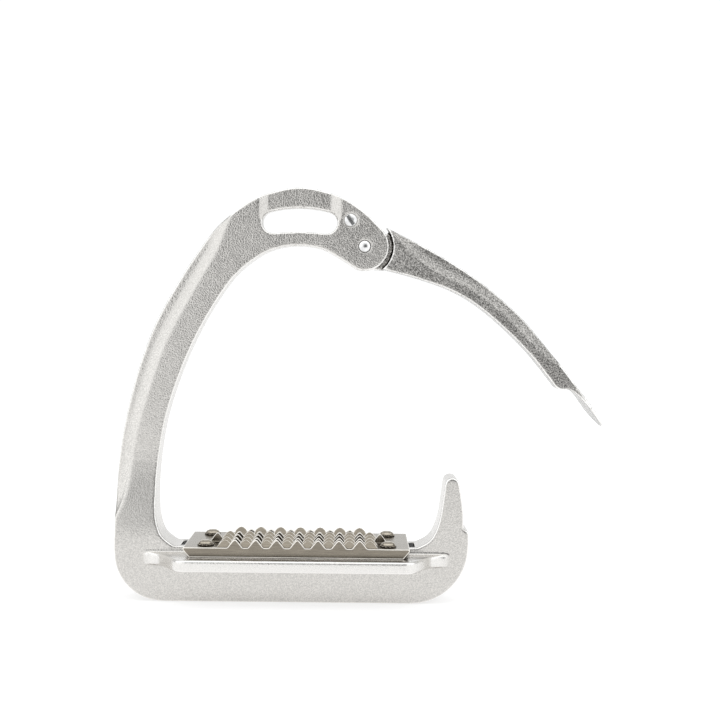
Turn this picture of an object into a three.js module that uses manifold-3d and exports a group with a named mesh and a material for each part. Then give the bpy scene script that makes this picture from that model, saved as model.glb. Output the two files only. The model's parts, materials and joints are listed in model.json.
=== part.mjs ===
// A safety stirrup iron with a hinged outer branch, standing on its base with the branch open.
// Millimetres, +X towards the hinged branch, +Y from the front face to the back, +Z up.
// The origin is the middle of the flat underside of the base.

import * as THREE from 'three';
import { mergeVertices } from 'three/addons/utils/BufferGeometryUtils.js';
import Module from 'manifold-3d';

const wasm = await Module();
wasm.setup();

// ---------- driving dimensions ----------

// Frame casting: crown, fixed branch, base, tread platform and outer stub in one piece.
const BASE_HALF = 74.4;          // half the width of the base
const MID_X = 2;                 // middle of the crown, strap slot and platform
const TREAD_X = 2.6;             // middle of the tread plate
const BASE_HALF_DEPTH = 8.8;     // half depth of base and stub
const CROWN_HALF_DEPTH = 5.5;    // half depth of crown and upper branch
const CROWN_TOP = 174.8;         // height of the iron
const BEAM_TOP = 23.4;           // top of the beam between the branches
const FIXED_CORNER = 20.5;       // radius of the base corner under the fixed branch
const STUB_CORNER = 24;          // radius of the base corner under the stub
const LEDGE_Z = 31.1;            // ledge below the tip of the closed branch
const LEDGE_DEPTH = 2.1;         // how far the ledge stands out from the stub
const STUB_TIP = { x: 67.3, z: 49.9, radius: 3.1 };

// Tread platform: two wings that widen the beam.
const PLATFORM_TOP = 20.6;
const PLATFORM_BOTTOM = 15.6;
const PLATFORM_HALF_DEPTH = 26.3;
const PLATFORM_EDGE = 0.6;       // rounding of the platform's rim
const PLATFORM_STRAIGHT = 44.5;  // half the straight length of the platform's front rim
const PLATFORM_END = 63.7;       // where the platform runs into the corners of the base

// Strap slot and the thinned bar above it.
const SLOT_END_RADIUS = 4.7;
const SLOT_END_X = 11.2;         // from the middle of the slot to the centre of each end
const SLOT_END_Z = 159.8;
const SLOT_TOP_Z = 166;
const SLOT_BOTTOM_Z = 155.8;
const BAR_HALF_WIDTH = 13.4;
const BAR_RAMP = 4;              // width of the sloping side of the thinned bar
const BAR_RECESS = 2;

// Side steps: a cove along the outer edge of both branches, front and back.
const COVE_RADIUS = 11.5;
const COVE_START = 12;           // slope in degrees where the cove leaves the lowered strip
const COVE_END = 55;             // slope in degrees where it reaches the branch's face
const COVE_FLOOR = 3.5;          // distance of the lowered strip from the middle plane

// Hinge.
const PIVOT = { x: 29.5, z: 149.9 };
const OPEN_ANGLE = 33;           // degrees between the closed and the open branch
const NOSE_RADIUS = 10.3;
const SHOULDER_RADIUS = 12.1;
const CLEVIS_HALF_GAP = 2.6;
const CLEVIS_RADIUS = 8.9;
const TONGUE_RADIUS = 8;
const TONGUE_HALF = 1.8;
const TONGUE_FLAT = 7.6;         // distance of the detent flats from the pivot
const BUSH_RADIUS = 3.1;
const PIN_RADIUS = 2;
const PIN_HEAD_RADIUS = 2.5;
const PIN_DOME = 1;              // height of the pin's and nut's domed heads above the face
const WASHER_RADIUS = 6;
const WASHER_THICKNESS = 0.5;
const FIT = 0.2;                 // radial clearance of pins and screws in their holes
const SINK = 0.4;                // depth of the shallow recess around each hinge head

// Detent screw and spring.
const DETENT_SCREW = { x: 23.5, z: 160.9 };
const DETENT_SHANK = 1.5;
const DETENT_HEAD = 2.8;
const DETENT_DOME = 1.1;
const DRIVE_SLOT = { length: 4.8, width: 1.6, depth: 1, angle: -56 };
const SPRING_HALF_WIDTH = 2.2;
const SPRING_EYE = 2.4;

// Tread plate.
const PLATE_LENGTH = 93.4;
const PLATE_HALF_DEPTH = 19.7;
const PLATE_TOP = 24.7;
const SHEET = 1;
const FLANGE_BOTTOM = 20.7;
const MITRE = 2.6;               // how much shorter each flange is at its lower corners
const TEETH_X = TREAD_X + 0.4;   // middle of the toothed field
const TOOTH_PITCH = 8.56;        // along the plate
const ROW_PITCH = 7.5;           // across the plate
const TOOTH = { base: 6.4, shoulder: 3.2, tip: 1.2, height: 3.4 };
const LEANING_TOOTH = { base: 6.4, shoulder: 3.9, tip: 1.6, height: 3.5 };
const BROAD_TOOTH = { base: 6.8, shoulder: 5, tip: 2.6, height: 4.1 };
const LOW_TOOTH = { ...TOOTH, height: 2.6 };
const END_TOOTH = { ...TOOTH, height: 3.8 };
const FIRST_UPRIGHT_ROW = -13.6; // behind the row that stands on the front fold
const FIRST_LEANING_ROW = -18.2;
const BROAD_ROW = 10;
const LAST_UPRIGHT_ROW = 12.4;
const END_TOOTH_ROW = -4.5;

// Tread fasteners and pad.
const SCREW_X = 37.9;            // from the middle of the plate
const SCREW_Y = 13.2;
const SCREW_RADIUS = 2;
const SCREW_HEAD = { radius: 3, height: 1.4 };
const SCREW_END_Z = 18;
const LOCK_WASHER = { radius: 3.5, thickness: 0.6, teeth: 12 };
const BOSS_RADIUS = 4.2;
const PAD = { halfLength: 49, halfWidth: 5.2, bottom: 21.5, top: 23.3 };
const PAD_FIT = 0.3;             // gap between the pad and its groove

const REACH = 90;                // more than half of any part, for cuts that go right through
const GAP = 0.1;                 // gap between faces that lie on each other

// ---------- solids ----------

const AXES = {
  // Front outlines (x, z), extruded towards the front; plan outlines (x, y), extruded upwards;
  // side outlines (y, z), extruded along +X.
  front: [[1, 0, 0], [0, 0, 1], [0, -1, 0]],
  plan: [[1, 0, 0], [0, 1, 0], [0, 0, 1]],
  side: [[0, 1, 0], [0, 0, 1], [1, 0, 0]],
};

function basis(plane) {
  const [x, y, z] = AXES[plane].map((axis) => new THREE.Vector3(...axis));
  return new THREE.Matrix4().makeBasis(x, y, z);
}

// A closed three.js geometry as a solid, turned right side out if its faces point in.
function solid(geometry) {
  const shell = geometry.clone();
  shell.deleteAttribute('normal');
  shell.deleteAttribute('uv');
  const welded = mergeVertices(shell, 1e-4);
  const points = welded.getAttribute('position').array;
  const corner = (index) => new THREE.Vector3().fromArray(points, 3 * index);
  const triangles = [];
  let volume = 0;
  for (let i = 0; i < welded.index.count; i += 3) {
    const [a, b, c] = [0, 1, 2].map((k) => welded.index.getX(i + k));
    if (a === b || b === c || c === a) continue;
    triangles.push([a, b, c]);
    volume += corner(a).dot(corner(b).cross(corner(c)));
  }
  const wound = volume < 0 ? triangles.map(([a, b, c]) => [a, c, b]) : triangles;
  const mesh = new wasm.Mesh({
    numProp: 3,
    vertProperties: new Float32Array(points),
    triVerts: new Uint32Array(wound.flat()),
  });
  return new wasm.Manifold(mesh);
}

// An outline pushed out between two places on the axis that its plane leaves free.
function prism(plane, shape, from, to, curveSegments = 8) {
  const settings = { depth: to - from, bevelEnabled: false, curveSegments };
  const geometry = new THREE.ExtrudeGeometry(shape, settings);
  geometry.translate(0, 0, plane === 'front' ? -to : from);
  return solid(geometry.applyMatrix4(basis(plane)));
}

// A profile of (radius, height) points turned about an axis along Y through (x, z). Height runs to
// the back.
function turnedY(profile, x, z, segments = 24) {
  const points = profile.map(([radius, y]) => new THREE.Vector2(radius, y));
  return solid(new THREE.LatheGeometry(points, segments).translate(x, 0, z));
}

// The same, about an upright axis through (x, y).
function turnedZ(profile, x, y, segments = 20) {
  const points = profile.map(([radius, z]) => new THREE.Vector2(radius, z));
  const geometry = new THREE.LatheGeometry(points, segments).rotateX(Math.PI / 2);
  return solid(geometry.translate(x, y, 0));
}

function drillY(radius, from, to, x, z, segments = 24) {
  return turnedY([[0, from], [radius, from], [radius, to], [0, to]], x, z, segments);
}

function drillZ(radius, from, to, x, y, segments = 20) {
  return turnedZ([[0, from], [radius, from], [radius, to], [0, to]], x, y, segments);
}

function block(minimum, maximum) {
  const low = new THREE.Vector3(...minimum);
  const size = new THREE.Vector3(...maximum).sub(low);
  const middle = low.clone().addScaledVector(size, 0.5);
  return solid(new THREE.BoxGeometry(size.x, size.y, size.z).translate(middle.x, middle.y, middle.z));
}

function polygon(points) {
  return new THREE.Shape(points.map(([x, y]) => new THREE.Vector2(x, y)));
}

function vectors(points) {
  return points.map(([x, y]) => new THREE.Vector2(x, y));
}

function circle(radius, x = 0, y = 0) {
  return new THREE.Shape().absarc(x, y, radius, 0, 2 * Math.PI, false);
}

function radians(degrees) {
  return THREE.MathUtils.degToRad(degrees);
}

// A point at a distance and direction (degrees, anticlockwise from +X) from a centre in the front plane.
function polar(centre, radius, degrees) {
  const angle = radians(degrees);
  return [centre.x + radius * Math.cos(angle), centre.z + radius * Math.sin(angle)];
}

function mirrorY(body) {
  return body.mirror([0, 1, 0]);
}

function toMesh(name, body, material) {
  const { vertProperties, triVerts } = body.getMesh();
  const geometry = new THREE.BufferGeometry();
  geometry.setAttribute('position', new THREE.BufferAttribute(vertProperties, 3));
  geometry.setIndex(new THREE.BufferAttribute(triVerts, 1));
  geometry.computeVertexNormals();
  const mesh = new THREE.Mesh(geometry, material);
  mesh.name = name;
  return mesh;
}

function finish(color, roughness, metalness = 1) {
  return new THREE.MeshStandardMaterial({ color, roughness, metalness });
}

// ---------- side steps ----------

// The cutter for one side step: a cove that leaves the lowered strip at a slight slope and climbs
// inwards to the branch's face. It follows a path in the front plane; seen from the front, outward is
// on the path's right hand.
function coveCutter(path, steps) {
  const section = new THREE.Shape();
  const outside = 14;
  const beyond = BASE_HALF_DEPTH + 3;
  const start = radians(COVE_START);
  const end = radians(COVE_END);
  const centre = [COVE_FLOOR + COVE_RADIUS * Math.cos(start), COVE_RADIUS * Math.sin(start)];
  const inside = centre[1] - COVE_RADIUS * Math.sin(end);
  section.moveTo(COVE_FLOOR, outside);
  section.lineTo(COVE_FLOOR, 0);
  section.absarc(...centre, COVE_RADIUS, Math.PI + start, Math.PI + end, false);
  section.lineTo(beyond, inside);
  section.lineTo(beyond, outside);
  const extrudePath = new THREE.CatmullRomCurve3(path.map(([x, z]) => new THREE.Vector3(x, 0, z)));
  const geometry = new THREE.ExtrudeGeometry(section, { extrudePath, steps, curveSegments: 6 });
  return solid(geometry);
}

function withSideSteps(body, path, steps) {
  const front = coveCutter(path, steps);
  return body.subtract(front).subtract(mirrorY(front));
}

// ---------- frame ----------

function frameOutline() {
  const outline = new THREE.Shape();
  outline.moveTo(FIXED_CORNER - BASE_HALF, 0);
  outline.lineTo(BASE_HALF - STUB_CORNER, 0);
  outline.absarc(BASE_HALF - STUB_CORNER, STUB_CORNER, STUB_CORNER, -Math.PI / 2, 0, false);
  outline.lineTo(BASE_HALF, LEDGE_Z - 1);
  outline.lineTo(BASE_HALF - 0.8, LEDGE_Z);
  outline.lineTo(BASE_HALF - LEDGE_DEPTH, LEDGE_Z);
  outline.splineThru(vectors([[72.2, 37], [71.5, 43.5], [STUB_TIP.x + STUB_TIP.radius, STUB_TIP.z]]));
  outline.absarc(STUB_TIP.x, STUB_TIP.z, STUB_TIP.radius, 0, Math.PI, false);
  outline.splineThru(vectors([[63.3, 43], [62.3, 36.5], [60.7, 31], [57.8, 26.3], [52.5, BEAM_TOP]]));
  outline.lineTo(-49.5, BEAM_TOP);
  outline.splineThru(vectors([
    [-54.4, 27.4], [-56.8, 34], [-57.3, 43], [-56.5, 58], [-53.6, 76.5], [-48, 94.7], [-40.7, 112],
    [-32.2, 127], [-24, 138], [-13.9, 145.9], [-6, 149], [MID_X, 149.9], [11, 148.7], [19, 144.6],
    polar(PIVOT, NOSE_RADIUS, -112),
  ]));
  outline.absarc(PIVOT.x, PIVOT.z, NOSE_RADIUS, radians(-112), radians(49), false);
  outline.splineThru(vectors([
    [31.9, 162.1], [25.7, 167], [18.8, 171], [10.8, 173.6], [MID_X, CROWN_TOP], [-7, 173.5], [-17, 169.8],
    [-28.2, 162], [-36.1, 154], [-48.9, 134.8], [-60.5, 112.5], [-68.8, 86], [-73.4, 60],
    [-BASE_HALF, 37], [-BASE_HALF, FIXED_CORNER],
  ]));
  outline.absarc(FIXED_CORNER - BASE_HALF, FIXED_CORNER, FIXED_CORNER, Math.PI, 1.5 * Math.PI, false);
  return outline;
}

function strapSlot() {
  const slot = new THREE.Shape();
  const left = MID_X - SLOT_END_X;
  const right = MID_X + SLOT_END_X;
  const rise = 0.6;
  const shoulder = 75;           // direction of each end's upper corner
  slot.moveTo(left, SLOT_END_Z - SLOT_END_RADIUS);
  slot.quadraticCurveTo(MID_X, SLOT_BOTTOM_Z + rise, right, SLOT_END_Z - SLOT_END_RADIUS);
  slot.absarc(right, SLOT_END_Z, SLOT_END_RADIUS, -Math.PI / 2, radians(shoulder), false);
  slot.quadraticCurveTo(
    MID_X, SLOT_TOP_Z + 2.5 * rise,
    ...polar({ x: left, z: SLOT_END_Z }, SLOT_END_RADIUS, 180 - shoulder),
  );
  slot.absarc(left, SLOT_END_Z, SLOT_END_RADIUS, radians(180 - shoulder), 1.5 * Math.PI, false);
  return prism('front', slot, -REACH, REACH, 6);
}

// The recess in front of the bar that carries the strap, with a sloping side at each end.
function barRecess() {
  const deep = BAR_RECESS - CROWN_HALF_DEPTH;
  const shape = polygon([
    [MID_X - BAR_HALF_WIDTH, deep], [MID_X + BAR_HALF_WIDTH, deep],
    [MID_X + BAR_HALF_WIDTH + 2 * BAR_RAMP, deep - 2 * BAR_RECESS],
    [MID_X - BAR_HALF_WIDTH - 2 * BAR_RAMP, deep - 2 * BAR_RECESS],
  ]);
  return prism('plan', shape, SLOT_END_Z + 1, CROWN_TOP + 5);
}

// What is taken off the front of the fixed branch and crown so that they grow thinner towards the top.
function taperCutter() {
  const start = BEAM_TOP + 0.3;
  const end = 62;
  const far = -BASE_HALF_DEPTH - 3;
  const shape = new THREE.Shape();
  shape.moveTo(far, start);
  shape.lineTo(-BASE_HALF_DEPTH, start);
  shape.bezierCurveTo(-BASE_HALF_DEPTH, start + 12, -CROWN_HALF_DEPTH, end - 14, -CROWN_HALF_DEPTH, end);
  shape.lineTo(-CROWN_HALF_DEPTH, CROWN_TOP + 5);
  shape.lineTo(far, CROWN_TOP + 5);
  return prism('side', shape, -REACH, 50, 10);
}

function platform() {
  const outline = new THREE.Shape();
  const straight = PLATFORM_STRAIGHT;
  const y = PLATFORM_HALF_DEPTH;
  const low = BASE_HALF_DEPTH + 1;
  const end = PLATFORM_END;
  // One quarter of the outline, drawn for each sign of x and y in turn.
  const outward = (sx, sy) => {
    outline.quadraticCurveTo(MID_X + sx * 48, sy * y, MID_X + sx * 49.8, sy * 23.2);
    outline.lineTo(MID_X + sx * 55.6, sy * 13.8);
    outline.quadraticCurveTo(MID_X + sx * 58.2, sy * low, MID_X + sx * 62.5, sy * low);
    outline.lineTo(MID_X + sx * end, sy * (low - 0.4));
  };
  const inward = (sx, sy) => {
    outline.lineTo(MID_X + sx * end, sy * (low - 0.4));
    outline.lineTo(MID_X + sx * 62.5, sy * low);
    outline.quadraticCurveTo(MID_X + sx * 58.2, sy * low, MID_X + sx * 55.6, sy * 13.8);
    outline.lineTo(MID_X + sx * 49.8, sy * 23.2);
    outline.quadraticCurveTo(MID_X + sx * 48, sy * y, MID_X + sx * straight, sy * y);
  };
  outline.moveTo(MID_X - straight, -y);
  outline.lineTo(MID_X + straight, -y);
  outward(1, -1);
  inward(1, 1);
  outline.lineTo(MID_X - straight, y);
  outward(-1, 1);
  inward(-1, -1);
  const geometry = new THREE.ExtrudeGeometry(outline, {
    depth: PLATFORM_TOP - PLATFORM_BOTTOM - 2 * PLATFORM_EDGE,
    bevelThickness: PLATFORM_EDGE,
    bevelSize: PLATFORM_EDGE,
    bevelOffset: -PLATFORM_EDGE,
    bevelSegments: 2,
    curveSegments: 5,
  });
  return solid(geometry.translate(0, 0, PLATFORM_BOTTOM + PLATFORM_EDGE));
}

function screwPlaces() {
  const corners = [[-1, -1], [1, -1], [-1, 1], [1, 1]];
  return corners.map(([sx, sy]) => [TREAD_X + sx * SCREW_X, sy * SCREW_Y]);
}

// The slot in the nose that takes the branch's tongue, with room for the detent spring and its screw.
function clevisCutter() {
  const halfGap = CLEVIS_HALF_GAP;
  const reach = 28;
  const mouth = polygon([
    [PIVOT.x, PIVOT.z], polar(PIVOT, reach, -113), polar(PIVOT, 1.4 * reach, -60),
    polar(PIVOT, 1.4 * reach, -10), polar(PIVOT, reach, 37),
  ]);
  const springRoom = polygon([[21.5, 158], [32.2, 156], [32.2, 159.9], [24.5, 163]]);
  const screwRoom = circle(SPRING_EYE + 0.8, DETENT_SCREW.x, DETENT_SCREW.z);
  return prism('front', circle(CLEVIS_RADIUS, PIVOT.x, PIVOT.z), -halfGap, halfGap, 16)
    .add(prism('front', mouth, -halfGap, halfGap))
    .add(prism('front', springRoom, -halfGap, halfGap))
    .add(prism('front', screwRoom, -halfGap, halfGap));
}

// The hole for a hinge pin or screw, with the shallow recess for its head at both ends.
function headedHole(radius, headRadius, place) {
  const face = CROWN_HALF_DEPTH;
  const wide = headRadius + 0.25;
  return drillY(radius + FIT, -face - 1, face + 1, place.x, place.z, 20)
    .add(drillY(wide, -face - 1, SINK - face, place.x, place.z))
    .add(drillY(wide, face - SINK, face + 1, place.x, place.z));
}

function frame() {
  const y = BASE_HALF_DEPTH;
  const taper = taperCutter();
  const groove = PAD.halfWidth + PAD_FIT;
  const grooveEnd = PAD.halfLength + PAD_FIT;
  const stepPath = [
    [-20, 178], [-28, 169.5], [-33, 160], [-37, 149.5], [-44.6, 136], [-57.4, 112], [-62.4, 98.5],
    [-67, 83.5], [-70.3, 71], [-72.4, 58], [-76, 46], [-85, 30],
  ];
  let body = prism('front', frameOutline(), -y, y, 7);
  body = body.subtract(taper).subtract(mirrorY(taper));
  body = withSideSteps(body, stepPath, 44);
  body = body.add(platform());
  for (const place of screwPlaces()) {
    body = body.add(drillZ(BOSS_RADIUS, PLATFORM_BOTTOM + 1, BEAM_TOP, ...place));
  }
  for (const place of screwPlaces()) {
    body = body.subtract(drillZ(SCREW_RADIUS + FIT, SCREW_END_Z - 0.4, BEAM_TOP + 1, ...place, 16));
  }
  const padGroove = block(
    [TREAD_X - grooveEnd, -groove, PAD.bottom - 0.2],
    [TREAD_X + grooveEnd, groove, BEAM_TOP + 2],
  );
  return body
    .subtract(padGroove)
    .subtract(strapSlot())
    .subtract(barRecess())
    .subtract(mirrorY(barRecess()))
    .subtract(clevisCutter())
    .subtract(headedHole(PIN_RADIUS, PIN_HEAD_RADIUS, PIVOT))
    .subtract(headedHole(DETENT_SHANK, DETENT_HEAD, DETENT_SCREW));
}

// ---------- hinged branch, drawn closed with the pivot at the origin ----------

const HINGE = { x: 0, z: 0 };
const TIP_HALF_DEPTH = 11.6;
const TIP_CENTRE = -109.5;       // where the tip's shield is widest
const TIP_END = -118.4;          // just clear of the stub's ledge when closed

function branchOutline() {
  const outline = new THREE.Shape();
  const low = polar(HINGE, SHOULDER_RADIUS, -85);
  outline.moveTo(...low);
  outline.absarc(0, 0, SHOULDER_RADIUS, radians(-85), radians(10), false);
  outline.splineThru(vectors([
    [21.6, -14.1], [28.5, -27.4], [34.2, -41], [37.9, -53], [40.5, -64], [42.2, -78],
    [43.3, -88], [44.1, -102], [44.6, -119.5],
  ]));
  outline.lineTo(43.8, -119.5);
  outline.splineThru(vectors([[43.1, -112], [42.6, -105.5], [41.8, -100.3], [40.5, -97.1]]));
  outline.quadraticCurveTo(37.2, -96.6, 36.2, -93.6);
  outline.splineThru(vectors([
    [34.2, -75], [30.5, -58.5], [25.8, -44.8], [19.6, -33.7], [10.6, -22.4], low,
  ]));
  return outline;
}

// The same branch seen along X: slender, then flared at the tip to cover the stub.
function branchSide() {
  const side = new THREE.Shape();
  const wide = TIP_HALF_DEPTH;
  const left = [[-5.5, 20], [-5.5, -30], [-5.3, -60], [-5.2, -90], [-5.4, -97]];
  side.moveTo(...left[0]);
  for (const point of left.slice(1)) side.lineTo(...point);
  side.bezierCurveTo(-6.2, -101, -wide, TIP_CENTRE + 5, -wide, TIP_CENTRE);
  side.bezierCurveTo(-wide, TIP_CENTRE - 4, -0.55 * wide, TIP_END, 0, TIP_END);
  side.bezierCurveTo(0.55 * wide, TIP_END, wide, TIP_CENTRE - 4, wide, TIP_CENTRE);
  side.bezierCurveTo(wide, TIP_CENTRE + 5, 6.2, -101, 5.4, -97);
  for (const [y, z] of left.slice(0, 4).reverse()) side.lineTo(-y, z);
  return side;
}

function flatCutter(direction) {
  const cutter = new THREE.BoxGeometry(12, 12, 12).translate(TONGUE_FLAT + 6, 0, 0);
  return solid(cutter.rotateY(-radians(direction)));
}

// The tongue: an eye around the bush with a flat for each detent, and a neck to the shoulder.
function tongue() {
  const neck = polygon([
    [0, 0], polar(HINGE, NOSE_RADIUS, -106), polar(HINGE, 13, -84), polar(HINGE, 17, -40),
    polar(HINGE, 14, -2),
  ]);
  return prism('front', circle(TONGUE_RADIUS), -TONGUE_HALF, TONGUE_HALF, 16)
    .subtract(flatCutter(90))
    .subtract(flatCutter(90 - OPEN_ANGLE))
    .add(prism('front', neck, -TONGUE_HALF, TONGUE_HALF));
}

function branch() {
  const stepPath = [
    [52, -92], [46.6, -86], [43.4, -79.5], [41.2, -69.3], [38.3, -56.5], [34.6, -44], [30.4, -35],
    [26.2, -28], [22.5, -21.1], [19.6, -13.5], [18.2, -6.5], [16.5, 1], [13, 14],
  ];
  let body = prism('front', branchOutline(), -TIP_HALF_DEPTH, TIP_HALF_DEPTH, 7);
  body = body.intersect(prism('side', branchSide(), 0, REACH, 9));
  body = withSideSteps(body, stepPath, 32);
  return body
    .add(tongue())
    .subtract(drillY(BUSH_RADIUS + FIT, -TONGUE_HALF - 1, TONGUE_HALF + 1, 0, 0));
}

// ---------- hinge hardware ----------

// A domed head: (radius, y) points from the axis outwards, domed towards the front from a face.
function dome(radius, face, height) {
  return [[0, face - height], [0.25 * radius, face - 0.97 * height], [0.5 * radius, face - 0.87 * height],
    [0.72 * radius, face - 0.67 * height], [0.9 * radius, face - 0.38 * height], [radius, face]];
}

function pivotPin() {
  const seat = SINK - GAP - CROWN_HALF_DEPTH;
  return turnedY([
    ...dome(PIN_HEAD_RADIUS, -CROWN_HALF_DEPTH, PIN_DOME), [PIN_HEAD_RADIUS, seat], [PIN_RADIUS, seat],
    [PIN_RADIUS, CROWN_HALF_DEPTH - SINK - 0.3], [1.4, CROWN_HALF_DEPTH - SINK - 0.3],
    [1.4, CROWN_HALF_DEPTH - 0.1], [0, CROWN_HALF_DEPTH - 0.1],
  ], PIVOT.x, PIVOT.z);
}

// The pin is screwed into this domed nut in the back cheek.
function pivotNut() {
  const seat = CROWN_HALF_DEPTH - SINK + GAP;
  const back = dome(PIN_HEAD_RADIUS, -CROWN_HALF_DEPTH, PIN_DOME).map(([radius, y]) => [radius, -y]);
  const bore = 1.4 + FIT;
  return turnedY([
    ...back, [PIN_HEAD_RADIUS, seat], [bore, seat], [bore, CROWN_HALF_DEPTH + 0.1],
    [0, CROWN_HALF_DEPTH + 0.1],
  ], PIVOT.x, PIVOT.z);
}

function pivotBush() {
  const half = TONGUE_HALF + GAP / 2;
  return drillY(BUSH_RADIUS, -half, half, 0, 0)
    .subtract(drillY(PIN_RADIUS + FIT, -half - 1, half + 1, 0, 0));
}

// The ring between the tongue and one cheek of the clevis; side is -1 in front and 1 at the back.
function pivotWasher(side) {
  const middle = side * (TONGUE_HALF + CLEVIS_HALF_GAP) / 2;
  const half = WASHER_THICKNESS / 2;
  return drillY(WASHER_RADIUS, middle - half, middle + half, PIVOT.x, PIVOT.z)
    .subtract(drillY(BUSH_RADIUS + FIT, middle - 1, middle + 1, PIVOT.x, PIVOT.z));
}

function detentScrew() {
  const seat = SINK - GAP - CROWN_HALF_DEPTH;
  const body = turnedY([
    ...dome(DETENT_HEAD, -CROWN_HALF_DEPTH, DETENT_DOME), [DETENT_HEAD, seat], [DETENT_SHANK, seat],
    [DETENT_SHANK, CROWN_HALF_DEPTH - 0.3], [0, CROWN_HALF_DEPTH - 0.3],
  ], DETENT_SCREW.x, DETENT_SCREW.z);
  const { length, width, depth, angle } = DRIVE_SLOT;
  const slot = new THREE.BoxGeometry(length, 2 * depth, width).rotateY(-radians(angle));
  slot.translate(DETENT_SCREW.x, -CROWN_HALF_DEPTH - DETENT_DOME, DETENT_SCREW.z);
  return body.subtract(solid(slot));
}

// A flat spring with an eye around the screw; its leaf lies over the tongue's flats.
function detentSpring() {
  const half = SPRING_HALF_WIDTH;
  const leaf = polygon([
    [22.8, 158.6], [26, 158.35], [30.6, 158.4], [31.7, 158.8], [31.4, 159.4], [30.4, 159], [26, 158.95],
    [24, 159.4],
  ]);
  const { x, z } = DETENT_SCREW;
  return prism('front', circle(SPRING_EYE, x, z), -half, half)
    .add(prism('front', leaf, -half, half))
    .subtract(drillY(DETENT_SHANK + FIT, -half - 1, half + 1, x, z, 16));
}

// ---------- tread ----------

// One tooth standing on the plate at (x, y): bent up out of the sheet and leaning back by some degrees.
function tooth(x, y, { base, shoulder, tip, height }, lean) {
  const root = -0.4;
  const flank = [[shoulder / 2, 0.6 * height], [tip / 2, 0.92 * height]];
  const shape = polygon([
    [-base / 2, root], [base / 2, root], [base / 2, 0], ...flank, [0, height],
    ...flank.reverse().map(([across, up]) => [-across, up]), [-base / 2, 0],
  ]);
  const geometry = new THREE.ExtrudeGeometry(shape, { depth: SHEET, bevelEnabled: false });
  geometry.translate(0, 0, -SHEET / 2).rotateX(Math.PI / 2).rotateX(-radians(lean));
  return solid(geometry.translate(x, y, PLATE_TOP));
}

// The hole that the tooth at (x, y) was bent up out of; side is -1 in front of it and 1 behind it.
function toothHole(x, y, { base, height }, side) {
  const foot = y + 0.7 * side * SHEET;
  const outline = polygon([[x - 0.4 * base, foot], [x + 0.4 * base, foot], [x, y + side * height]]);
  return prism('plan', outline, PLATE_TOP - 2 * SHEET, PLATE_TOP + SHEET);
}

// The places (x, y) of the teeth: upright and leaning columns by turns, and one more at each end.
function toothPlaces() {
  const column = (k) => TEETH_X + k * TOOTH_PITCH;
  const places = { fold: [], upright: [], leaning: [], broad: [], low: [], end: [] };
  for (let k = -3; k <= 3; k += 1) {
    places.fold.push([column(k), SHEET / 2 - PLATE_HALF_DEPTH]);
    for (let row = 0; row < 3; row += 1) {
      places.upright.push([column(k), FIRST_UPRIGHT_ROW + row * ROW_PITCH]);
    }
    places.broad.push([column(k), BROAD_ROW]);
  }
  for (let k = -3.5; k <= 3.5; k += 1) {
    for (let row = 0; row < 4; row += 1) {
      places.leaning.push([column(k), FIRST_LEANING_ROW + row * ROW_PITCH]);
    }
    if (Math.abs(k) < 3) places.low.push([column(k), LAST_UPRIGHT_ROW]);
  }
  for (const k of [-4, 4]) places.end.push([column(k), END_TOOTH_ROW]);
  return places;
}

function treadPlate() {
  const half = PLATE_LENGTH / 2;
  const [left, right] = [TREAD_X - half, TREAD_X + half];
  const y = PLATE_HALF_DEPTH;
  const folded = polygon([
    [-y, FLANGE_BOTTOM], [SHEET - y, FLANGE_BOTTOM], [SHEET - y, PLATE_TOP - SHEET],
    [y - SHEET, PLATE_TOP - SHEET], [y - SHEET, FLANGE_BOTTOM], [y, FLANGE_BOTTOM], [y, PLATE_TOP],
    [-y, PLATE_TOP],
  ]);
  const mitred = polygon([
    [left, PLATE_TOP + 9], [left, PLATE_TOP - SHEET], [left + MITRE, FLANGE_BOTTOM],
    [right - MITRE, FLANGE_BOTTOM], [right, PLATE_TOP - SHEET], [right, PLATE_TOP + 9],
  ]);
  let body = prism('side', folded, -REACH, REACH).intersect(prism('front', mitred, -y - 1, y + 1));
  const places = toothPlaces();
  for (const place of places.upright) body = body.subtract(toothHole(...place, TOOTH, -1));
  for (const place of places.end) body = body.subtract(toothHole(...place, END_TOOTH, -1));
  for (const place of places.leaning) body = body.subtract(toothHole(...place, LEANING_TOOTH, 1));
  for (const place of places.fold) body = body.add(tooth(...place, TOOTH, 0));
  for (const place of places.upright) body = body.add(tooth(...place, TOOTH, 0));
  for (const place of places.leaning) body = body.add(tooth(...place, LEANING_TOOTH, 45));
  for (const place of places.broad) body = body.add(tooth(...place, BROAD_TOOTH, 30));
  for (const place of places.low) body = body.add(tooth(...place, LOW_TOOTH, 0));
  for (const place of places.end) body = body.add(tooth(...place, END_TOOTH, 0));
  for (const place of screwPlaces()) {
    body = body.subtract(drillZ(SCREW_RADIUS + FIT, PLATE_TOP - 3, PLATE_TOP + 5, ...place, 16));
  }
  return body;
}

function treadPad() {
  return block(
    [TREAD_X - PAD.halfLength, -PAD.halfWidth, PAD.bottom],
    [TREAD_X + PAD.halfLength, PAD.halfWidth, PAD.top],
  );
}

function treadScrew(x, y) {
  const seat = PLATE_TOP + LOCK_WASHER.thickness + 2 * GAP;
  const { radius, height } = SCREW_HEAD;
  return turnedZ([
    [0, SCREW_END_Z], [SCREW_RADIUS, SCREW_END_Z], [SCREW_RADIUS, seat], [radius, seat],
    [radius, seat + 0.15 * height], [0.84 * radius, seat + 0.6 * height],
    [0.48 * radius, seat + 0.92 * height], [0, seat + height],
  ], x, y, 16);
}

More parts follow.
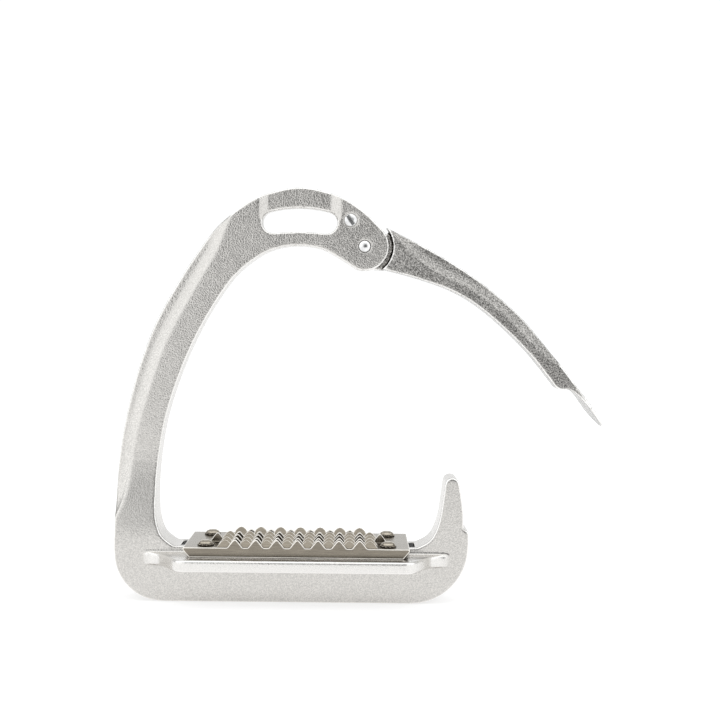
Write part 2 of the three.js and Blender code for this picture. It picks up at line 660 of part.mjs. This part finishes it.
function lockWasher(x, y) {
  const { radius, thickness, teeth: count } = LOCK_WASHER;
  const outline = [];
  for (let i = 0; i < count; i += 1) {
    for (const [share, size] of [[0, 0.86], [0.25, 1], [0.6, 1], [0.8, 0.86]]) {
      const [px, py] = polar({ x, z: y }, size * radius, (i + share) * 360 / count);
      outline.push([px, py]);
    }
  }
  const bottom = PLATE_TOP + GAP;
  return prism('plan', polygon(outline), bottom, bottom + thickness)
    .subtract(drillZ(SCREW_RADIUS + FIT, bottom - 1, bottom + 2, x, y, 16));
}

// ---------- assembly ----------

const castAluminium = () => finish(0xc9c7c0, 0.42);
const darkerCasting = () => finish(0x8f8a84, 0.45);
const polishedSteel = () => finish(0xd8d8d6, 0.15);
const stainlessSheet = () => finish(0xa0968a, 0.3);
const springSteel = () => finish(0x77787a, 0.35);
const bronze = () => finish(0xa8824a, 0.35);
const blackRubber = () => finish(0x2b2b2b, 0.8, 0);

const stirrup = new THREE.Group();

function place(name, body, material) {
  stirrup.add(toMesh(name, body, material));
}

place('frame', frame(), castAluminium());
place('pivot_pin', pivotPin(), polishedSteel());
place('pivot_nut', pivotNut(), polishedSteel());
place('pivot_washer_front', pivotWasher(-1), bronze());
place('pivot_washer_back', pivotWasher(1), bronze());
place('detent_screw', detentScrew(), polishedSteel());
place('detent_spring', detentSpring(), springSteel());
place('tread_plate', treadPlate(), stainlessSheet());
place('tread_pad', treadPad(), blackRubber());
screwPlaces().forEach(([x, y], i) => {
  place(`lock_washer_${i + 1}`, lockWasher(x, y), stainlessSheet());
  place(`tread_screw_${i + 1}`, treadScrew(x, y), polishedSteel());
});

// The branch and its bush turn together about the pivot, swung open from where they are drawn.
const opened = new THREE.Group();
opened.position.set(PIVOT.x, 0, PIVOT.z);
opened.rotation.y = -radians(OPEN_ANGLE);
opened.add(toMesh('outer_branch', branch(), darkerCasting()));
opened.add(toMesh('pivot_bush', pivotBush(), bronze()));
stirrup.add(opened);

export default stirrup;
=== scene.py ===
import json
import math

import bpy
import numpy as np
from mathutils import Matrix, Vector


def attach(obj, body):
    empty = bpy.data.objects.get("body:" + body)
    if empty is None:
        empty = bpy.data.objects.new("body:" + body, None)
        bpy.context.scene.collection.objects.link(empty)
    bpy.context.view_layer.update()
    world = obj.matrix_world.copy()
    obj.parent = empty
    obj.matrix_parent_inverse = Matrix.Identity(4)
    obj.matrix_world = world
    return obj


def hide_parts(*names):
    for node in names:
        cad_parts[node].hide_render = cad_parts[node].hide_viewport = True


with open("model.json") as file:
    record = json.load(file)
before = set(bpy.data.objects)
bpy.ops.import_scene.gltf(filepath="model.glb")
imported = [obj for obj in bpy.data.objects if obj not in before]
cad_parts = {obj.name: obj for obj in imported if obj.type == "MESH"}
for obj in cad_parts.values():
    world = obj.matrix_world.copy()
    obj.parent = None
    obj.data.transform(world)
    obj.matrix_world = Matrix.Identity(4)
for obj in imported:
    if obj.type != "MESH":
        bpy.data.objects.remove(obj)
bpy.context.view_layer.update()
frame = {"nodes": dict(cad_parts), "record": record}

MM = 0.001
MOST_TRIANGLES = 190000  # of one piece


# ---------- meshes ----------

def evaluated(obj):
    """The mesh of obj with its modifiers, which are then taken off."""
    depsgraph = bpy.context.evaluated_depsgraph_get()
    mesh = bpy.data.meshes.new_from_object(obj.evaluated_get(depsgraph))
    obj.modifiers.clear()
    obj.data = mesh
    return mesh


class Surface:
    """A mesh's points and which are joined, for work on all of them at once."""

    def __init__(self, mesh):
        self.mesh = mesh
        self.count = len(mesh.vertices)
        self.places = np.empty(self.count * 3)
        mesh.vertices.foreach_get("co", self.places)
        self.places = self.places.reshape(-1, 3)
        ends = np.empty(len(mesh.edges) * 2, np.int64)
        mesh.edges.foreach_get("vertices", ends)
        self.first, self.second = ends[0::2], ends[1::2]
        self.near = np.bincount(ends, minlength=self.count)

    def mean_near(self, values):
        """The mean of one value over each point's neighbours."""
        total = (np.bincount(self.first, values[self.second], self.count)
                 + np.bincount(self.second, values[self.first], self.count))
        return total / self.near

    def mean_place(self):
        return np.stack([self.mean_near(self.places[:, k]) for k in range(3)], axis=1)

    def relax(self, rounds):
        """Moves each point half way to the mean of its neighbours, which rounds the edges."""
        for _ in range(rounds):
            self.places += 0.5 * (self.mean_place() - self.places)
        self.mesh.vertices.foreach_set("co", self.places.ravel())
        self.mesh.update()

    def mark_edges(self, spacing, radius):
        """Stores as "edge" how sharply the surface bends outwards: 1 at that radius or less."""
        normals = np.empty(self.count * 3)
        self.mesh.vertex_normals.foreach_get("vector", normals)
        proud = np.einsum("ij,ij->i", self.places - self.mean_place(), normals.reshape(-1, 3))
        # Among four neighbours, a point stands proud by a quarter of spacing² times the bend.
        bend = np.clip(4 * proud / spacing ** 2 * radius, 0, 1)
        for _ in range(2):
            bend = 0.5 * (bend + self.mean_near(bend))
        self.mesh.attributes.new("edge", "FLOAT", "POINT").data.foreach_set("value", bend)


def recast(node, voxel, rounding):
    """A fine copy of a CAD node whose edges are rounded over about that many metres."""
    obj = bpy.data.objects.new(node + "_cast", frame["nodes"][node].data.copy())
    bpy.context.scene.collection.objects.link(obj)
    remesh = obj.modifiers.new("voxels", "REMESH")
    remesh.mode = "VOXEL"
    remesh.voxel_size = voxel
    mesh = evaluated(obj)
    surface = Surface(mesh)
    # Relaxing spreads an edge over half a voxel times the root of the number of rounds.
    surface.relax(max(2, round(4 * (rounding / voxel) ** 2)))
    surface.mark_edges(voxel, 1.2 * rounding)
    triangles = 2 * len(mesh.polygons)
    if triangles > MOST_TRIANGLES:
        decimate = obj.modifiers.new("fewer", "DECIMATE")
        decimate.ratio = MOST_TRIANGLES / triangles
        mesh = evaluated(obj)
    mesh.shade_smooth()
    return obj


def finish_piece(obj, node, body, material):
    obj.data.materials.clear()
    obj.data.materials.append(material)
    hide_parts(node)
    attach(obj, body)


# ---------- materials ----------

class Nodes:
    """A small helper to wire the nodes of a material or of the world."""

    def __init__(self, owner):
        owner.use_nodes = True
        self.owner = owner
        self.tree = owner.node_tree

    def add(self, kind, inputs=None, **settings):
        node = self.tree.nodes.new("ShaderNode" + kind)
        for key, value in settings.items():
            setattr(node, key, value)
        for key, value in (inputs or {}).items():
            self.feed(node.inputs[key], value)
        return node

    def feed(self, socket, value):
        """Links a socket to another one, or gives it a plain value."""
        if isinstance(value, bpy.types.NodeSocket):
            self.tree.links.new(value, socket)
        else:
            socket.default_value = value

    def span(self, fac, low, high, start=0.0, end=1.0):
        """fac from start to end as low to high, and no further."""
        inputs = {"Value": fac, "From Min": start, "From Max": end, "To Min": low, "To Max": high}
        return self.add("MapRange", inputs).outputs["Result"]

    def ramp(self, fac, stops):
        node = self.add("ValToRGB", {"Fac": fac})
        elements = node.color_ramp.elements
        while len(elements) < len(stops):
            elements.new(0.5)
        for element, (position, colour) in zip(elements, stops):
            element.position = position
            element.color = (*colour, 1.0)
        return node.outputs["Color"]


class Finish(Nodes):
    """The nodes of a new material, whose patterns are fixed to the object."""

    def __init__(self, name):
        super().__init__(bpy.data.materials.new(name))
        self.shader = self.tree.nodes["Principled BSDF"]
        self.place = self.add("TexCoord").outputs["Object"]

    def noise(self, scale, detail=2.0, roughness=0.5, vector=None):
        """A pattern with about scale spots to the metre."""
        inputs = {"Vector": vector or self.place, "Scale": scale,
                  "Detail": detail, "Roughness": roughness}
        return self.add("TexNoise", inputs).outputs["Fac"]

    def mottle(self, pattern, cloud, dark, light):
        """Colours from dark to light by a fine pattern, shifted a little by a slow one."""
        shift = self.span(cloud, -0.1, 0.1)
        mixed = self.add("Math", {0: pattern, 1: shift}, operation="ADD").outputs[0]
        return self.ramp(mixed, [(0.3, dark), (0.7, light)])

    def blend(self, fac, first, second):
        """A colour socket, turned into a plain colour as fac goes from 0 to 1."""
        inputs = {"Factor": fac, 6: first, 7: (*second, 1.0)}
        return self.add("Mix", inputs, data_type="RGBA").outputs[2]

    def edge(self, start, end):
        """0 to 1 as the mesh's mark of its outer edges goes from start to end."""
        mark = self.add("Attribute", attribute_name="edge").outputs["Fac"]
        return self.span(mark, 0.0, 1.0, start, end)

    def painted_shade(self, reach):
        """1 in corners and slots that are closed in within some millimetres, 0 in the open: a mask
        for painted shade.
        """
        node = self.add("AmbientOcclusion", {"Distance": reach * MM}, samples=8)
        return self.span(node.outputs["AO"], 1.0, 0.0, 0.35, 0.85)

    def bump(self, height, distance, strength=1.0, after=None):
        """Height as relief of that many millimetres, on top of the relief after."""
        inputs = {"Height": height, "Distance": distance * MM, "Strength": strength}
        if after is not None:
            inputs["Normal"] = after
        return self.add("Bump", inputs).outputs["Normal"]

    def set(self, **inputs):
        """Feeds the shader's sockets and gives the finished material."""
        for key, value in inputs.items():
            self.feed(self.shader.inputs[key.replace("_", " ")], value)
        return self.owner


def grey(value, warmth=0.0):
    return (value, value * (1 - 0.4 * warmth), value * (1 - warmth))


def blasted(name, dark, light, roughness, grit, smooth_to_whole=None, painted_light_beyond=None):
    """Cast aluminium, bead blasted to a fine grain, with slow cloudy changes and pale edges that are
    partly wear and partly painted highlight.

    The grain goes from rubbed smooth at one height to whole at another, and what stands out
    further than the given depth to the front or back gets painted light for the unshaded rim. All
    lengths in millimetres.
    """
    warmth = 0.07
    # Pale colour for edge wear and painted highlight, also used for the painted light on the outer
    # rim.
    wear_and_highlight = grey(0.92, 0.5 * warmth)
    n = Finish(name)
    grain = n.noise(1800, 0.5)
    fine = n.noise(1900, 1.0)
    cloud = n.noise(60, 3.0)
    place = n.add("SeparateXYZ", {0: n.place}).outputs
    colour = n.mottle(fine, cloud, grey(dark, warmth), grey(light, warmth))
    # Painted light: beyond that depth the colour goes half way to the pale one, for the unshaded rim
    # that catches more light.
    if painted_light_beyond is not None:
        depth = n.add("Math", {0: place["Y"]}, operation="ABSOLUTE").outputs[0]
        painted_rim_light = n.span(depth, 0.0, 0.5, painted_light_beyond * MM, (painted_light_beyond + 1) * MM)
        colour = n.blend(painted_rim_light, colour, wear_and_highlight)
    # Edges painted pale: partly wear, partly a painted highlight for the light the rounded edges
    # catch.
    colour = n.blend(n.edge(0.3, 0.6), colour, wear_and_highlight)
    rough = n.span(cloud, roughness - 0.04, roughness + 0.04, 0.3, 0.7)
    kept = 1.0
    if smooth_to_whole is not None:
        smooth, whole = smooth_to_whole
        kept = n.span(place["Z"], 0.3, 1.0, smooth * MM, whole * MM)
    normal = n.bump(fine, 0.25 * grit, kept, after=n.bump(grain, grit, kept))
    return n.set(Base_Color=colour, Metallic=1.0, Roughness=rough, Normal=normal)


def rolled(name, dark, light, cut_edge_highlight, warmth, roughness):
    """Rolled sheet: fine scratches along X, soft stains, a painted highlight on the sheared edges
    and painted shade in corners.
    """
    n = Finish(name)
    stretched = n.add("Mapping", {"Vector": n.place, "Scale": (0.03, 1, 1)}).outputs[0]
    lines = n.noise(5200, 3.0, 0.6, stretched)
    cloud = n.noise(140, 3.0)
    edge = n.edge(0.09, 0.2)
    colour = n.mottle(lines, cloud, grey(dark, warmth), grey(light, warmth))
    # Painted shade: darker where corners, gaps and the spaces between teeth close in.
    colour = n.blend(n.painted_shade(3.0), colour, grey(0.15 * dark, warmth))
    # Painted highlight: sheared edges go pale and less metallic, so they read bright.
    colour = n.blend(edge, colour, grey(cut_edge_highlight, 0.4 * warmth))
    rough = n.span(lines, roughness - 0.06, roughness + 0.1, 0.3, 0.7)
    metallic = n.span(edge, 1.0, 0.5)
    normal = n.bump(lines, 0.02, 0.7)
    return n.set(Base_Color=colour, Metallic=metallic, Roughness=rough, Normal=normal)


def polished(name, dark, light, warmth, roughness):
    """Bright metal with faint turning marks, handling haze and painted shade in its slots."""
    n = Finish(name)
    cloud = n.noise(900, 3.0)
    colour = n.ramp(cloud, [(0.35, grey(dark, warmth)), (0.65, grey(light, warmth))])
    # Painted shade: nearly black where slots and corners close in.
    colour = n.blend(n.painted_shade(2.0), colour, grey(0.06, warmth))
    rough = n.span(cloud, roughness - 0.04, roughness + 0.08, 0.3, 0.7)
    normal = n.bump(n.noise(6000), 0.01, 0.5)
    return n.set(Base_Color=colour, Metallic=1.0, Roughness=rough, Normal=normal)


def rubber(name):
    n = Finish(name)
    grain = n.noise(2500)
    colour = n.ramp(grain, [(0.3, grey(0.02)), (0.7, grey(0.045))])
    rough = n.span(grain, 0.65, 0.85)
    return n.set(Base_Color=colour, Roughness=rough, Normal=n.bump(grain, 0.05))


FINISHES = {
    # The frame's rim, beyond 9 mm to the front or back, gets painted light.
    "cast_aluminium": (blasted, dict(
        dark=0.52, light=0.68, roughness=0.23, grit=0.14, smooth_to_whole=(60, 130), painted_light_beyond=9)),
    # The arm is the frame's alloy; its much darker tones are a painted reflection of the dark its
    # front faces see, and their wide spread is its grain.
    "branch_aluminium": (blasted, dict(dark=0.14, light=0.55, roughness=0.17, grit=0.24)),
    "polished_steel": (polished, dict(dark=0.7, light=0.86, warmth=0.0, roughness=0.12)),
    # The sheets' sheared edges get a pale painted highlight.
    "stainless_sheet": (rolled, dict(dark=0.2, light=0.3, cut_edge_highlight=0.9, warmth=0.27, roughness=0.22)),
    "spring_steel": (rolled, dict(dark=0.38, light=0.5, cut_edge_highlight=0.6, warmth=0.0, roughness=0.3)),
    "bronze": (polished, dict(dark=0.45, light=0.6, warmth=0.6, roughness=0.25)),
    "black_rubber": (rubber, {}),
    "screw_steel": (polished, dict(dark=0.38, light=0.5, warmth=0.25, roughness=0.2)),
}
MATERIALS = {name: make(name, **settings) for name, (make, settings) in FINISHES.items()}


# ---------- the object ----------

# How finely each node is made again, and how far its edges are rounded, in millimetres.
RECAST = {
    "frame": (0.3, 0.6),
    "outer_branch": (0.25, 0.7),
    "tread_plate": (0.2, 0.13),
    "tread_pad": (0.25, 0.2),
}
SMALL_PART = (0.09, 0.07)
TREAD_FASTENERS = ("tread_screw", "lock_washer")  # how the names of these nodes begin

bodies = frame["record"]["behaviour"]["bodies"]
body_of = {node: body for body, nodes in bodies.items() for node in nodes}
slot_of = {part["node"]: part["material_slot"] for part in frame["record"]["subparts"]}
for node in list(frame["nodes"]):
    voxel, rounding = RECAST.get(node, SMALL_PART)
    piece = recast(node, voxel * MM, rounding * MM)
    finish = "screw_steel" if node.startswith(TREAD_FASTENERS) else slot_of[node]
    finish_piece(piece, node, body_of[node], MATERIALS[finish])


# ---------- floor, light and camera ----------

# A sheet of pale paper, just low enough not to share a plane with the base.
FLOOR_LEFT, FLOOR_RIGHT, FLOOR_FRONT, FLOOR_BACK, FLOOR_Z = -3, 3, -1.2, 4, -0.05 * MM
mesh = bpy.data.meshes.new("floor")
corners = [(FLOOR_LEFT, FLOOR_FRONT, FLOOR_Z), (FLOOR_RIGHT, FLOOR_FRONT, FLOOR_Z),
           (FLOOR_RIGHT, FLOOR_BACK, FLOOR_Z), (FLOOR_LEFT, FLOOR_BACK, FLOOR_Z)]
mesh.from_pydata(corners, [], [(0, 1, 2, 3)])
floor = bpy.data.objects.new("floor", mesh)
bpy.context.scene.collection.objects.link(floor)
paper = Finish("paper")
floor.data.materials.append(paper.set(
    Base_Color=(0.5, 0.5, 0.5, 1.0), Roughness=0.9, Normal=paper.bump(paper.noise(700), 0.02),
    Emission_Color=(1.0, 1.0, 1.0, 1.0), Emission_Strength=0.6,
))

softbox = bpy.data.lights.new("top", "AREA")
softbox.shape = "RECTANGLE"
softbox.size, softbox.size_y = 1.4, 1.2
softbox.energy = 0.8
top = bpy.data.objects.new("top", softbox)
top.location = (0.0, 0.1, 0.8)
lit = Vector((0.0, 0.05, 0.1))  # where it points
top.rotation_euler = (lit - top.location).to_track_quat("-Z", "Y").to_euler()
bpy.context.scene.collection.objects.link(top)

# The surroundings, by how far a direction turns away from FRONT: (1 - cosine) / 2, so 0 straight
# at it and 1 straight behind it. A dim patch where the camera and its operator stand, bright
# walls round that, a dimmer zone behind the object, and white for what the camera sees there.
FRONT = Vector((0.14, -1.0, 0.12))
SKY = [
    (0.002, 0.15), (0.0092, 0.26), (0.0218, 0.7), (0.0364, 1.12), (0.081, 1.2), (0.172, 1.35),
    (0.3, 1.42), (0.5, 1.42), (0.6, 0.57), (0.88, 0.57), (0.915, 1.08),
]
MOST_LIGHT = max(light for _, light in SKY)
TINT = (0.985, 0.995, 1.0)

world = bpy.data.worlds.new("studio")
bpy.context.scene.world = world
studio = Nodes(world)
background = studio.tree.nodes["Background"]
direction = studio.add("TexCoord").outputs["Generated"]
ahead = studio.add("VectorMath", {0: direction, 1: FRONT.normalized()}, operation="DOT_PRODUCT")
turned_away = studio.span(ahead.outputs["Value"], 0.0, 1.0, 1.0, -1.0)
stops = [(turn, [light / MOST_LIGHT * part for part in TINT]) for turn, light in SKY]
studio.feed(background.inputs["Color"], studio.ramp(turned_away, stops))
studio.feed(background.inputs["Strength"], MOST_LIGHT)

camera = bpy.data.objects.new("camera", bpy.data.cameras.new("camera"))
camera.location = (0.0264, -0.5525, 0.1214)
camera.rotation_euler = (math.radians(90), math.radians(-0.6), 0)
camera.data.lens = 64.85
camera.data.sensor_width = 36
camera.data.shift_x = 0.0047
camera.data.shift_y = -0.0641
camera.data.clip_start = 0.01
bpy.context.scene.collection.objects.link(camera)
bpy.context.scene.camera = camera
bpy.context.scene.view_settings.view_transform = "Standard"
